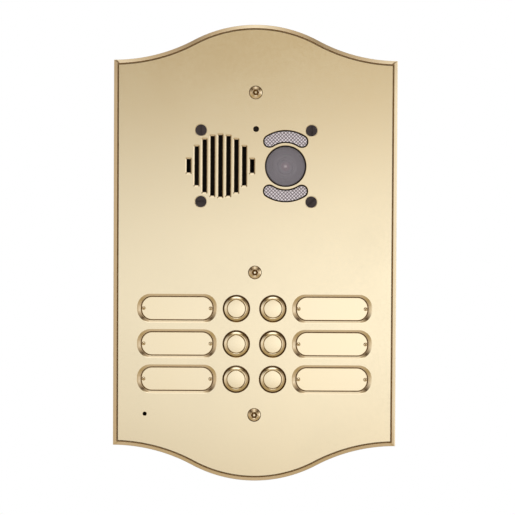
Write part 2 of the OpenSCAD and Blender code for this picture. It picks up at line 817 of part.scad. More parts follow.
module microphone_boot() {
    color("black") stand()
        at(mic_at) difference() {
            union() {
                translate([0, 0, -9]) cylinder(d = 11, h = back_z + 9);
                translate([-3, 3, -6]) cube([6, 5.2, 5]);
            }
            translate([0, 0, -6.5]) cylinder(d = 6, h = 5 + eps);
            translate([0, 0, -2]) cylinder(d = mic_d, h = 6);
        }
}

module microphone_lead() {
    color("dimgray") stand() tube(LEAD_ROUTE, lead_d / 2, 8);
}

front_plate();
plate_gasket();
back_box();
screw_lugs();
plate_screws();
for (i = [1:6]) nameplate(i);
nameplate_screws();
for (i = [1:6]) button_bezel(i);
for (i = [1:6]) button_cap(i);
for (i = [1:6]) button_spring(i);
cap_nuts();
switch_board();
tact_switches();
board_standoffs();
board_screws();
unit_housing();
unit_cover();
unit_screws();
speaker_mesh();
speaker_frame();
speaker_cone();
speaker_magnet();
camera_window();
camera_shroud();
camera_yoke();
camera_body();
camera_lens();
lamp_diffuser(0);  // lamp_diffuser_upper
lamp_diffuser(180);  // lamp_diffuser_lower
lamp_board();
light_sensor();
main_board();
trimmer_bases();
volume_trimmer(1);  // volume_trimmer_1
volume_trimmer(2);  // volume_trimmer_2
terminal_block();
ribbon_cable();
microphone();
microphone_boot();
microphone_lead();
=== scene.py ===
import json
import math

import bmesh
import bpy
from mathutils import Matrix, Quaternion, Vector
from mathutils.geometry import delaunay_2d_cdt

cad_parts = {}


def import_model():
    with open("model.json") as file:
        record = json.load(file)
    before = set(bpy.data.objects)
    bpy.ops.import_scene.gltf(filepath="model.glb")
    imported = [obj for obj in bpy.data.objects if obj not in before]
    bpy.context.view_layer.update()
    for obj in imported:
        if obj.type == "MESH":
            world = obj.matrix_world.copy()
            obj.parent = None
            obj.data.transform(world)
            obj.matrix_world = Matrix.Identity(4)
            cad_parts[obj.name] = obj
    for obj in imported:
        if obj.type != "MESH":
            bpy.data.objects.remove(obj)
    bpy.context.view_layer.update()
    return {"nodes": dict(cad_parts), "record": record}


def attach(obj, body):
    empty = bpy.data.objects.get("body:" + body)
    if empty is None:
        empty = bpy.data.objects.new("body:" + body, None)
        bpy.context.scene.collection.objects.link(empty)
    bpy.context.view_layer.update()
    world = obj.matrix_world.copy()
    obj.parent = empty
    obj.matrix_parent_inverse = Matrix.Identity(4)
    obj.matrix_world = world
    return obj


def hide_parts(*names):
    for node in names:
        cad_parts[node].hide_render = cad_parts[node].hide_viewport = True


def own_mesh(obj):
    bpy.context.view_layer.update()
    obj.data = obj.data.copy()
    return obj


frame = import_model()

# Everything is drawn as the panel's maker would, in millimetres: x to the right, y up, z to the visitor.
MM = 0.001
BACK = 1.5
FACE = 5.5
SPEAKER = (-24.7, 61.7)
CAMERA = (21.3, 61.7)
ROWS = (-39, -64, -89)
BUTTONS = [(s * 12.9, y) for s in (-1, 1) for y in ROWS]
NAMES = [(s * 54.8, y) for s in (-1, 1) for y in ROWS]
PLATE_SCREWS = [(0, 113.5), (0, -13.4), (0, -114.3)]
NAMEPLATE_SCREW_X = 23.65
UNIT_SCREWS = [(0.5 + sx * 39, 61.7 + sy * 25.2) for sx in (-1, 1) for sy in (-1, 1)]
UNIT_SLOT_TURNS = (0, 90, 45, 90)
SENSOR = (0.35, 87.8)
MICROPHONE = (-77.5, -113.8)


def world(x, y, z):
    """A point of the panel's own drawing, in the row frame, in metres."""
    return Vector((x, -z, y)) * MM


# ---------------------------------------------------------------- contours


def circle(centre, r, n=64):
    cx, cy = centre
    return [(cx + r * math.cos(math.tau * k / n), cy + r * math.sin(math.tau * k / n)) for k in range(n)]


def arc(centre, r, start, end, n):
    """Points on an arc, both ends included, angles in degrees."""
    cx, cy = centre
    angles = [math.radians(start + (end - start) * k / n) for k in range(n + 1)]
    return [(cx + r * math.cos(a), cy + r * math.sin(a)) for a in angles]


def rounded(centre, w, h, r, n=10):
    """A rectangle with round corners, anticlockwise."""
    cx, cy = centre
    points = []
    for k, (sx, sy) in enumerate(((1, 1), (-1, 1), (-1, -1), (1, -1))):
        corner = (cx + sx * (w / 2 - r), cy + sy * (h / 2 - r))
        points += arc(corner, r, 90 * k, 90 * k + 90, n)
    return points


def hexagon(centre, r, n=48):
    """A hexagon of that corner radius, with n points."""
    cx, cy = centre
    points = []
    for k in range(n):
        a = math.tau * k / n
        off = (a + math.pi / 6) % (math.pi / 3) - math.pi / 6
        reach = r * math.cos(math.pi / 6) / math.cos(off - math.copysign(math.pi / 6, off)) if off else r
        points.append((cx + reach * math.cos(a), cy + reach * math.sin(a)))
    return points


HALF_W = 100
CROWN_R = 93.5
CROWN_Y = 67.7
SHOULDER_R = 119
SHOULDER_Y = 255.2


def outline(inset):
    """The plate's outline: straight sides, hollow shoulders, a crown above and its mirror below."""
    toward = math.degrees(math.atan2(SHOULDER_Y - CROWN_Y, HALF_W))
    low = math.degrees(math.atan2(-math.sqrt((SHOULDER_R + inset) ** 2 - inset**2), -inset))
    shoulder = arc((HALF_W, SHOULDER_Y), SHOULDER_R + inset, low, toward - 180, 26)
    crown = arc((0, CROWN_Y), CROWN_R - inset, toward, 90, 30)
    quarter = shoulder + crown[1:]
    half = quarter + [(-x, y) for x, y in reversed(quarter[:-1])]
    side = [(-half[0][0], half[0][1] * (1 - k / 6)) for k in range(1, 12)]
    foot = [(-x, -y) for x, y in half]
    return half + side + foot + [(-x, -y) for x, y in side]


LAMP_R = 20.9
LAMP_W = 9.1
LAMP_ANGLE = 33
LATTICE = 1.75


def lamp_window(side, inset=0.0, n=26, ends=14):
    """A ring segment with round ends, above (side 1) or below (side -1) the camera."""
    cx, cy = CAMERA
    r = LAMP_W / 2 - inset
    a0, a1 = 90 - LAMP_ANGLE, 90 + LAMP_ANGLE
    points = arc((0, 0), LAMP_R + r, a0, a1, n)
    left = (LAMP_R * math.cos(math.radians(a1)), LAMP_R * math.sin(math.radians(a1)))
    points += arc(left, r, a1, a1 + 180, ends)[1:-1]
    points += arc((0, 0), LAMP_R - r, a1, a0, n)
    right = (-left[0], left[1])
    points += arc(right, r, a0 + 180, a0 + 360, ends)[1:-1]
    return [(cx + side * x, cy + side * y) for x, y in points]


def lamp_depth(side, x, y):
    """How far a point lies inside a lamp window's edge."""
    x, y = side * (x - CAMERA[0]), side * (y - CAMERA[1])
    off = abs(math.degrees(math.atan2(x, y)))
    if off <= LAMP_ANGLE:
        return LAMP_W / 2 - abs(math.hypot(x, y) - LAMP_R)
    end = (LAMP_R * math.sin(math.radians(LAMP_ANGLE)), LAMP_R * math.cos(math.radians(LAMP_ANGLE)))
    return LAMP_W / 2 - math.hypot(abs(x) - end[0], y - end[1])


# ---------------------------------------------------------------- mesh building


class Build:
    """A mesh put together from rings of points.

    A level's optional last value, from 0 to 1, says how much painted shade, made patchy like dirt, sits
    there; on the lens it says how strong a painted glint is.
    """

    def __init__(self):
        self.bm = bmesh.new()
        self.grime = self.bm.verts.layers.float.new("grime")
        self.flat = set()

    def ring(self, points, z, grime=0.0):
        verts = [self.bm.verts.new(world(x, y, z)) for x, y in points]
        for v in verts:
            v[self.grime] = grime
        return verts

    def bridge(self, a, b):
        n = max(len(a), len(b))
        for k in range(n):
            m = (k + 1) % n
            if len(a) == 1:
                self.bm.faces.new((a[0], b[m], b[k]))
            elif len(b) == 1:
                self.bm.faces.new((a[k], a[m], b[0]))
            else:
                self.bm.faces.new((a[k], a[m], b[m], b[k]))

    def tower(self, levels, close=False):
        """Bridges contours given as (points, z), and returns their rings."""
        rings = [self.ring(*level) for level in levels]
        for a, b in zip(rings, rings[1:]):
            self.bridge(a, b)
        if close:
            self.bridge(rings[-1], rings[0])
        return rings

    def shaft(self, contour, profile):
        """Bridges contour(inset) along a profile of (inset, z)."""
        return self.tower([(contour(i), *level) for i, *level in profile])

    def lathe(self, centre, profile, n=64, close=False):
        """Turns a profile of (radius, z) about an axis towards the visitor. Radius 0 is a single point."""
        levels = [(circle(centre, r, n) if r > 0 else [centre], *level) for r, *level in profile]
        return self.tower(levels, close)

    def cap(self, ring):
        self.flat.add(self.bm.faces.new(ring))

    def fill(self, *rings, normal=(0, -1, 0)):
        """Fills a flat region bounded by rings, the first outside and the others its holes."""
        edges = []
        for r in rings:
            for k, v in enumerate(r):
                w = r[(k + 1) % len(r)]
                edges.append(self.bm.edges.get((v, w)) or self.bm.edges.new((v, w)))
        made = bmesh.ops.triangle_fill(self.bm, use_beauty=True, use_dissolve=False, edges=edges,
                                       normal=normal)
        self.flat.update(g for g in made["geom"] if isinstance(g, bmesh.types.BMFace))

    def piece(self, name, material, angle=28, weighted=True):
        """The finished object. Edges sharper than an angle and edges round flat fills stay crisp."""
        bmesh.ops.recalc_face_normals(self.bm, faces=self.bm.faces)
        for f in self.bm.faces:
            f.smooth = True
        limit = math.radians(angle)
        for e in self.bm.edges:
            flats = [f in self.flat for f in e.link_faces]
            level = len(flats) == 2 and flats[0] == flats[1]
            e.smooth = level and e.calc_face_angle(0) < limit
        mesh = bpy.data.meshes.new(name)
        self.bm.to_mesh(mesh)
        self.bm.free()
        obj = bpy.data.objects.new(name, mesh)
        bpy.context.scene.collection.objects.link(obj)
        mesh.materials.append(material)
        if weighted:
            m = obj.modifiers.new("weighted", "WEIGHTED_NORMAL")
            m.keep_sharp = True
            m.weight = 90
        return obj


def settle(obj, body, slot, *nodes):
    """Rides a piece on its body and hides the nodes it stands for; the slot argument is not used."""
    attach(obj, body)
    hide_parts(*nodes)
    return obj


# ---------------------------------------------------------------- materials


class Nodes:
    """A short way to wire shader nodes."""

    def __init__(self, tree):
        self.tree = tree
        tree.nodes.clear()

    def put(self, node, **inputs):
        for key, value in inputs.items():
            by_number = key[0] == "i" and key[1:].isdigit()
            target = node.inputs[int(key[1:])] if by_number else node.inputs[key.replace("_", " ")]
            if isinstance(value, bpy.types.NodeSocket):
                self.tree.links.new(value, target)
            else:
                target.default_value = value
        return node

    def add(self, kind, props=None, **inputs):
        node = self.tree.nodes.new(kind)
        for key, value in (props or {}).items():
            setattr(node, key, value)
        return self.put(node, **inputs)

    def math(self, operation, a, b=0.0, c=0.0, clamp=False):
        return self.add("ShaderNodeMath", {"operation": operation, "use_clamp": clamp}, i0=a, i1=b,
                        i2=c).outputs[0]

    def vector(self, operation, a, b=(0, 0, 0), c=(0, 0, 0)):
        return self.add("ShaderNodeVectorMath", {"operation": operation}, i0=a, i1=b, i2=c).outputs[0]

    def smooth(self, value, low, high):
        node = self.add("ShaderNodeMapRange", {"interpolation_type": "SMOOTHSTEP"}, i0=value, i1=low,
                        i2=high)
        return node.outputs[0]

    def span(self, value, low, high, to_low, to_high):
        return self.add("ShaderNodeMapRange", None, i0=value, i1=low, i2=high, i3=to_low,
                        i4=to_high).outputs[0]

    def ramp(self, value, stops):
        node = self.add("ShaderNodeValToRGB", None, i0=value)
        elements = node.color_ramp.elements
        while len(elements) > 1:
            elements.remove(elements[-1])
        for k, (place, colour) in enumerate(stops):
            e = elements[0] if k == 0 else elements.new(place)
            e.position = place
            e.color = (*colour, 1)
        return node.outputs[0]

    def mix(self, factor, a, b):
        node = self.add("ShaderNodeMix", {"data_type": "RGBA"})
        for socket, value in ((node.inputs[0], factor), (node.inputs[6], a), (node.inputs[7], b)):
            if isinstance(value, bpy.types.NodeSocket):
                self.tree.links.new(value, socket)
            else:
                socket.default_value = value if isinstance(value, float) else (*value, 1)
        return node.outputs[2]

    def noise(self, where, per_mm, detail=3.0):
        node = self.add("ShaderNodeTexNoise", None, Vector=where, Scale=per_mm / MM, Detail=detail)
        return node.outputs[0]


def surface(name, light, dark, rough, grain=0.8, bump=0.0, bump_grain=None, pattern=None, patch=0.02,
            **sockets):
    """A material whose colour and roughness wander between two values, with a fine relief.

    grain and patch are the sizes of the fine and the broad variation, as cycles per millimetre.
    """
    material = bpy.data.materials.new(name)
    material.use_nodes = True
    n = Nodes(material.node_tree)
    where = n.add("ShaderNodeTexCoord").outputs["Object"]
    fine = n.noise(where, grain)
    broad = n.noise(where, patch, detail=2.0)
    both = n.math("MULTIPLY_ADD", fine, 0.5, n.math("MULTIPLY", broad, 0.5))
    colour = n.ramp(both, ((0.32, dark), (0.68, light)))
    roughness = n.span(both, 0.3, 0.7, rough[0], rough[1])
    relief = n.noise(where, bump_grain or grain, detail=4.0)
    varied = {}
    if pattern:
        colour, roughness, relief, varied = pattern(n, where, colour, roughness, relief)
    shader = n.add("ShaderNodeBsdfPrincipled", None, Base_Color=colour, Roughness=roughness, **varied)
    if bump:
        height = n.add("ShaderNodeBump", None, Strength=1.0, Distance=bump * MM, Height=relief)
        n.put(shader, Normal=height.outputs[0])
    n.put(shader, **sockets)
    n.add("ShaderNodeOutputMaterial", None, Surface=shader.outputs[0])
    return material


def painted_groove_shade(n, where, colour, roughness, relief):
    """Painted shade that darkens the bottoms of grooves and gaps, made patchy like old polish and dirt."""
    shade_amount = n.add("ShaderNodeAttribute", {"attribute_name": "grime"}).outputs["Fac"]
    patchy = n.math("MULTIPLY", shade_amount, n.span(n.noise(where, 1.5), 0.3, 0.7, 0.85, 1.1), clamp=True)
    metal = n.math("SUBTRACT", 1.0, patchy, clamp=True)
    # Painted shade: a dark brown, not metal, that the grooves and gaps take.
    darker = n.mix(patchy, colour, (0.17, 0.078, 0.009))
    rougher = n.math("MULTIPLY_ADD", patchy, 0.3, roughness)
    return darker, rougher, relief, {"Metallic": metal}


def painted_lens_glint(n, where, colour, roughness, relief):
    """A painted pink glint that stands for the coating's reflection, strongest in the lens's middle."""
    glint_amount = n.add("ShaderNodeAttribute", {"attribute_name": "grime"}).outputs["Fac"]
    # Painted reflection: a pale pink mixed into the lens colour where the per-vertex value is high.
    return n.mix(glint_amount, colour, (1.0, 0.80, 0.80)), roughness, relief, {}


def spangle(n, where, colour, roughness, relief):
    """Zinc crystals, each with its own grey."""
    cells = n.add("ShaderNodeTexVoronoi", None, Vector=where, Scale=0.16 / MM)
    grey = n.add("ShaderNodeSeparateColor", None, Color=cells.outputs["Color"]).outputs[0]
    shade = n.ramp(grey, ((0.0, (0.82, 0.83, 0.84)), (1.0, (1.0, 1.0, 1.0))))
    tinted = n.add("ShaderNodeMix", {"data_type": "RGBA", "blend_type": "MULTIPLY"})
    tinted.inputs[0].default_value = 1.0
    n.tree.links.new(colour, tinted.inputs[6])
    n.tree.links.new(shade, tinted.inputs[7])
    return tinted.outputs[2], n.math("MULTIPLY_ADD", grey, 0.14, roughness), relief, {}


def traces(n, where, colour, roughness, relief):
    """Copper tracks that show through the solder mask."""
    bricks = n.add("ShaderNodeTexBrick", {"offset": 0.37, "squash": 1.7}, Vector=where, Scale=0.09 / MM,
                   Mortar_Size=0.035, Mortar_Smooth=0.15)
    track = bricks.outputs["Fac"]
    raised = n.math("MULTIPLY_ADD", track, 0.6, relief)
    return n.mix(track, colour, (0.10, 0.34, 0.16)), roughness, raised, {}


def painted_lattice_shade(n, where, colour, roughness, relief):
    """The diffusers' diagonal grooves, with painted shade that makes them darker than the prisms between
    them.
    """
    parts = n.add("ShaderNodeSeparateXYZ", None, i0=where).outputs
    x = n.math("MULTIPLY_ADD", parts[0], 1 / MM, -CAMERA[0])
    z = n.math("MULTIPLY_ADD", parts[2], 1 / MM, -CAMERA[1])
    lines = []
    for sign in (1.0, -1.0):
        across = n.math("MULTIPLY", n.math("MULTIPLY_ADD", x, sign, z), math.sqrt(0.5) / LATTICE)
        lines.append(n.math("PINGPONG", across, 0.5))
    nearest = n.math("MINIMUM", lines[0], lines[1])
    # Painted shade: a dark grey laid along the grooves.
    return n.mix(n.smooth(nearest, 0.05, 0.24), (0.14, 0.12, 0.135), colour), roughness, relief, {}


BRASS = dict(Specular_IOR_Level=0.0, Specular_Tint=(0.9, 0.72, 0.42, 1))
# The brass materials carry painted shade in their grooves and gaps, the lens glass a painted pink glint, and
# the diffusers painted shade along their grooves.
MATERIALS = {
    "brass_plate": surface("brass_plate", (0.935, 0.825, 0.60), (0.925, 0.80, 0.565), (0.10, 0.16), 0.5,
                           0.0012, 0.25, painted_groove_shade, **BRASS),
    "brass_trim": surface("brass_trim", (0.95, 0.83, 0.60), (0.93, 0.79, 0.54), (0.07, 0.13), 0.9, 0.0008,
                          0.6, painted_groove_shade, **BRASS),
    "galvanised_steel": surface("galvanised_steel", (0.72, 0.73, 0.74), (0.55, 0.56, 0.57), (0.30, 0.42),
                                0.6, 0.01, 0.9, spangle, Metallic=0.9),
    "spring_steel": surface("spring_steel", (0.78, 0.78, 0.77), (0.60, 0.60, 0.60), (0.18, 0.30), 2.0,
                            0.004, Metallic=1.0),
    "rubber": surface("rubber", (0.035, 0.035, 0.036), (0.02, 0.02, 0.021), (0.55, 0.75), 1.2, 0.03, 2.5),
    "black_plastic": surface("black_plastic", (0.014, 0.011, 0.010), (0.008, 0.006, 0.005), (0.45, 0.6),
                             2.0, 0.02, 3.0, Specular_IOR_Level=0.25),
    "barrel_plastic": surface("barrel_plastic", (0.10, 0.095, 0.11), (0.08, 0.075, 0.09), (0.14, 0.22), 2.0,
                              0.003, 3.0, IOR=2.0),
    "grey_plastic": surface("grey_plastic", (0.23, 0.23, 0.24), (0.18, 0.18, 0.19), (0.40, 0.55), 2.0,
                            0.015, 3.0),
    "black_steel": surface("black_steel", (0.050, 0.040, 0.044), (0.026, 0.020, 0.022), (0.30, 0.48), 1.2,
                           0.02, 1.6, Metallic=0.35),
    "black_mesh": surface("black_mesh", (0.020, 0.014, 0.010), (0.010, 0.007, 0.005), (0.55, 0.70), 3.0,
                          0.01, 4.0, Specular_IOR_Level=0.25),
    "plain_steel": surface("plain_steel", (0.62, 0.62, 0.63), (0.48, 0.48, 0.49), (0.25, 0.40), 1.5, 0.008,
                           Metallic=1.0),
    "tinted_window": surface("tinted_window", (0.30, 0.28, 0.32), (0.275, 0.26, 0.295), (0.08, 0.13), 0.2,
                             0.001, 0.15, Alpha=0.38, IOR=1.49),
    "lens_glass": surface("lens_glass", (0.30, 0.12, 0.20), (0.16, 0.07, 0.13), (0.03, 0.06), 0.5,
                          pattern=painted_lens_glint, Coat_Weight=1.0, Coat_Roughness=0.02, Coat_IOR=2.2, IOR=1.8),
    "lamp_diffuser": surface("lamp_diffuser", (0.72, 0.69, 0.74), (0.64, 0.60, 0.66), (0.2, 0.3), 0.6,
                             0.004, 1.0, painted_lattice_shade, IOR=1.49),
    "circuit_board": surface("circuit_board", (0.03, 0.16, 0.07), (0.02, 0.11, 0.05), (0.25, 0.36), 0.8,
                             0.02, 1.0, traces),
    "switch_plastic": surface("switch_plastic", (0.10, 0.10, 0.10), (0.07, 0.07, 0.07), (0.4, 0.5), 2.0,
                              0.01),
    "trimmer_plastic": surface("trimmer_plastic", (0.10, 0.26, 0.52), (0.08, 0.20, 0.42), (0.35, 0.45), 2.0,
                               0.01),
    "terminal_plastic": surface("terminal_plastic", (0.06, 0.32, 0.12), (0.04, 0.25, 0.09), (0.38, 0.5),
                                2.0, 0.012),
    "cable_jacket": surface("cable_jacket", (0.42, 0.42, 0.44), (0.34, 0.34, 0.36), (0.42, 0.55), 1.5,
                            0.01),
}

# ---------------------------------------------------------------- front plate


def round_edge(r=0.25):
    """Profile of a hole's rounded edge, from the face inwards."""
    return [(r * (math.sin(a) - 1), FACE - r * (1 - math.cos(a))) for a in (0, 0.45, 0.95, math.pi / 2)]


def slot_half(dx):
    """Half the height of the sound slot that stands dx from the grille's middle."""
    return 5.9 if abs(dx) > 20 else math.sqrt(22.9**2 - 1.08 * dx * dx)


def plate():
    b = Build()
    # The optional third value in rim, slot and wall levels is painted shade: dark brown in the rim's groove
    # and at the bottoms of the slots and nameplate pockets.
    rim = [(0.3, BACK), (0, BACK + 0.25), (0, 3.5), (0.06, 3.66), (0.2, 3.76), (1.1, 4.28), (1.32, 4.32),
           (2.2, 4.82),
           (2.32, 4.84, 0.1), (2.44, 4.76, 0.8), (2.58, 4.4, 1), (2.96, 4.4, 1), (3.04, 4.85, 0.9),
           (3.12, 5.05, 0.3), (3.4, 5.29), (3.5, 5.37), (3.66, FACE)]
    rings = b.shaft(outline, rim)
    front, back = [rings[-1]], [rings[0]]

    def hole(contour, profile):
        made = b.shaft(contour, profile)
        front.append(made[0])
        return made[-1]

    for k in range(-4, 5):
        dx = k * 5.6
        place = (SPEAKER[0] + dx, SPEAKER[1])
        half = slot_half(dx)
        back.append(hole(lambda i: rounded(place, 4.5 - 2 * i, 2 * (half - 1.3 * i), max(1.1 - i, 0.2), 6),
                         [(-0.1, FACE), (0.0, FACE - 0.03), (0.08, FACE - 0.09), (0.78, FACE - 0.57),
                          (0.85, FACE - 0.7, 0.3), (0.87, BACK, 1)]))
    soft = round_edge()
    back.append(hole(lambda i: circle(CAMERA, 14.6 - i, 96), soft + [(0, BACK)]))
    for side in (1, -1):
        back.append(hole(lambda i: lamp_window(side, i), soft + [(0, BACK)]))
    for place in UNIT_SCREWS:
        back.append(hole(lambda i: circle(place, 4.25 - i, 48),
                         round_edge(0.2) + [(0, FACE - 2.4), (2.25, FACE - 2.4), (2.25, BACK)]))
    for place, r in ((SENSOR, 2.0), (MICROPHONE, 1.4)):
        back.append(hole(lambda i: circle(place, r - i, 32), round_edge(0.15) + [(0, BACK)]))
    for place in PLATE_SCREWS:
        back.append(hole(lambda i: circle(place, 2.75 - i, 32), [(0, FACE), (0, BACK)]))
    for place in BUTTONS:
        back.append(hole(lambda i: circle(place, 8.1 - i, 48), [(0, FACE), (0, BACK)]))
    wall = [(0, FACE), (0.14, FACE - 0.03), (0.32, FACE - 0.12), (1.4, FACE - 0.77),
            (1.55, FACE - 0.9, 0.4), (1.72, FACE - 1.4, 1), (1.9, FACE - 2, 1)]
    for place in NAMES:
        floor = hole(lambda i: rounded(place, 56.5 - 3.2 * i, 20.3 - 2 * i, 9.3 - i, 14), wall)
        bores = [(place[0] + s * NAMEPLATE_SCREW_X, place[1]) for s in (-1, 1)]
        pairs = [b.tower([(circle(c, 0.9, 12), FACE - 2), (circle(c, 0.9, 12), BACK)]) for c in bores]
        b.fill(floor, *[p[0] for p in pairs])
        back += [p[1] for p in pairs]
    b.fill(*front)
    b.fill(*back)
    return b.piece("front_plate_finished", MATERIALS["brass_plate"])


settle(plate(), "panel", "brass_plate", "front_plate")


# ---------------------------------------------------------------- screws


def slotted_head(b, centre, r, low, floor, top, slot, turn, edge, shank_r, shank_end):
    """A screw with a flat slotted head, built closed."""
    a0 = math.degrees(math.asin(slot / 2 / r))
    c, s = math.cos(math.radians(turn)), math.sin(math.radians(turn))

    def placed(points):
        return [(centre[0] + x * c - y * s, centre[1] + x * s + y * c) for x, y in points]

    upper = arc((0, 0), r, a0, 180 - a0, 22)
    lower = [(-x, -y) for x, y in upper]
    rings = b.tower([(placed([(x * k, y * k) for x, y in upper + lower]), z)
                     for k, z in ((shank_r / r, shank_end), (shank_r / r, low), (0.97, low),
                                  (1, low + 0.05 * r), (1, floor))])
    b.cap(rings[0])
    base = rings[-1]
    n = len(upper)
    halves = (base[:n], base[n:])
    b.bm.faces.new((halves[0][0], halves[0][-1], halves[1][0], halves[1][-1]))
    inner = arc((0, 0), r - edge, math.degrees(math.asin((slot / 2 + edge) / (r - edge))),
                180 - math.degrees(math.asin((slot / 2 + edge) / (r - edge))), 22)
    for half, sign in zip(halves, (1, -1)):
        side = b.ring(placed([(sign * x, sign * y) for x, y in upper]), top - edge)
        land = b.ring(placed([(sign * x, sign * y) for x, y in inner]), top)
        b.bridge(half, side)
        b.bridge(side, land)
        b.cap(land)


def unit_screws():
    b = Build()
    for place, turn in zip(UNIT_SCREWS, UNIT_SLOT_TURNS):
        slotted_head(b, place, r=4.0, low=FACE - 2.35, floor=FACE - 1.05, top=FACE - 0.2, slot=1.0,
                     turn=turn,
                     edge=0.18, shank_r=1.75, shank_end=FACE - 15.3)
    return b.piece("unit_screws_finished", MATERIALS["black_steel"])


def slit(centre, length, width, turn, n=32):
    """A narrow rectangle with n points, for a driver slot that a round head is bridged to."""
    c, s = math.cos(math.radians(turn)), math.sin(math.radians(turn))
    points = []
    for k in range(n):
        a = math.tau * k / n
        x = max(-0.5, min(0.5, 0.75 * math.cos(a - math.radians(turn)))) * length
        y = max(-0.5, min(0.5, 0.75 * math.sin(a - math.radians(turn)))) * width
        points.append((centre[0] + x * c - y * s, centre[1] + x * s + y * c))
    return points


def nameplate_screws():
    """Tiny domed heads, so steep at the edge that they show up brown on the bright plates, helped by painted
    shade round their base and in their slots.
    """
    b = Build()
    base = FACE - 1
    for x, y in NAMES:
        for s, turn in ((-1, 20), (1, 65)):
            place = (x + s * NAMEPLATE_SCREW_X, y)
            head = [(0.85, FACE - 3.9), (0.85, base + 0.01), (1.3, base + 0.01, 1),
                    (1.35, base + 0.12, 0.8), (1.28, base + 0.34, 0.2),
                    (1.08, base + 0.54), (0.85, base + 0.65)]
            slot = [(0.78, 0.2, base + 0.68), (0.7, 0.14, base + 0.5, 0.8), (0.7, 0.14, base + 0.35, 1)]
            rings = b.tower([(circle(place, r, 32), *level) for r, *level in head]
                            + [(slit(place, 2 * half, 2 * wide, turn), *level) for half, wide,
                               *level in slot])
            b.cap(rings[0])
            b.cap(rings[-1])
    return b.piece("nameplate_screws_finished", MATERIALS["brass_trim"])


def plate_screws():
    b = Build()
    ball = 7.2
    for place in PLATE_SCREWS:
        top = FACE + 2.6
        dome = [(ball * math.sin(a), top - ball * (1 - math.cos(a)))
                for a in (math.radians(q) for q in (41, 37, 33, 29, 25, 22))]
        # Third values are painted shade: round the head's base, in the hex socket and round the pin.
        stem = [(circle(place, 2.45, 48), -9), (circle(place, 2.45, 48), FACE),
                (circle(place, 4.65, 48), FACE, 1), (circle(place, 4.8, 48), FACE + 0.15, 1)]
        head = [(circle(place, 4.8, 48), FACE + 0.75, 0.6)] + [(circle(place, q, 48), z) for q, z in dome]
        land = [(circle(place, 2.58, 48), top - 0.48), (hexagon(place, 2.42), top - 0.6, 0.5),
                (hexagon(place, 2.32), top - 0.85, 1),
                (hexagon(place, 2.3), FACE + 0.6, 1), (circle(place, 1.25, 48), FACE + 0.5, 1)]
        pin = [(circle(place, 1.05, 48), FACE + 0.55, 1), (circle(place, 1.05, 48), FACE + 1.9, 0.4),
               (circle(place, 0.95, 48), FACE + 2.2), (circle(place, 0.7, 48), FACE + 2.4)]
        rings = b.tower(stem + head + land + pin)
        b.cap(rings[0])
        b.cap(rings[-1])
    return b.piece("plate_screws_finished", MATERIALS["brass_trim"])


settle(unit_screws(), "panel", "black_steel", "unit_screws")
settle(nameplate_screws(), "panel", "brass_trim", "nameplate_screws")
settle(plate_screws(), "panel", "brass_trim", "plate_screws")

# ---------------------------------------------------------------- nameplates and buttons


def nameplate(i):
    b = Build()
    place = NAMES[i]
    base = FACE - 2
    # Third values paint shade on the plate's edge, in the gap round it.
    rings = b.shaft(lambda d: rounded(place, 50.2 - 2 * d, 16.2 - 2 * d, 7.25 - d, 12),
                    [(0.1, base, 1), (0, base + 0.1, 1), (0, base + 0.6, 1), (0.08, base + 0.78, 0.7),
                     (0.26, base + 0.96, 0.1), (0.36, base + 1.0)])
    bores = [(place[0] + s * NAMEPLATE_SCREW_X, place[1]) for s in (-1, 1)]
    pairs = [b.tower([(circle(c, 0.9, 16), base), (circle(c, 0.9, 16), base + 1)]) for c in bores]
    b.fill(rings[0], *[p[0] for p in pairs])
    b.fill(rings[-1], *[p[-1] for p in pairs])
    return b.piece(f"nameplate_{i + 1}_finished", MATERIALS["brass_trim"])


def bezel(i):
    b = Build()
    top = FACE + 2.2
    ball = 6.4
    crown = [(6.7 + ball * math.sin(a), top - ball * (1 - math.cos(a)))
             for a in (math.radians(q) for q in range(14, 0, -2))]
    # Third values paint shade at the bezel's foot on the plate and down its bore beside the cap.
    profile = [(7.4, -8), (8.0, -8), (8.0, FACE - 0.02), (9.6, FACE, 1), (9.75, FACE + 0.12, 1),
               (9.75, FACE + 0.84, 0.3), (9.66, FACE + 0.95)]
    profile += [(8.45, FACE + 1.95)] + crown
    profile += [(6.7, top - 0.05), (6.6, top - 0.18), (6.54, top - 0.34, 0.6), (6.52, top - 0.7, 1),
                (6.65, 3.9, 1), (7.4, 3.9, 1)]
    b.lathe(BUTTONS[i], profile, 96, close=True)
    return b.piece(f"button_bezel_{i + 1}_finished", MATERIALS["brass_trim"], angle=14)


def button_cap(i):
    b = Build()
    top = 7.4
    # Third values paint shade down the cap's side, in the gap inside the bezel.
    b.lathe(BUTTONS[i], [(0, -13), (1.7, -13), (2, -12.7), (2, 2.4), (5.8, 2.4), (5.8, -1.2), (7.3, -1.2),
                         (7.3, 3.85, 1), (6.4, 3.85, 1),
                         (6.4, top - 0.5, 0.6), (6.36, top - 0.24), (6.2, top - 0.07), (5.95, top),
                         (0, top)], 72)
    return b.piece(f"button_cap_{i + 1}_finished", MATERIALS["brass_trim"])


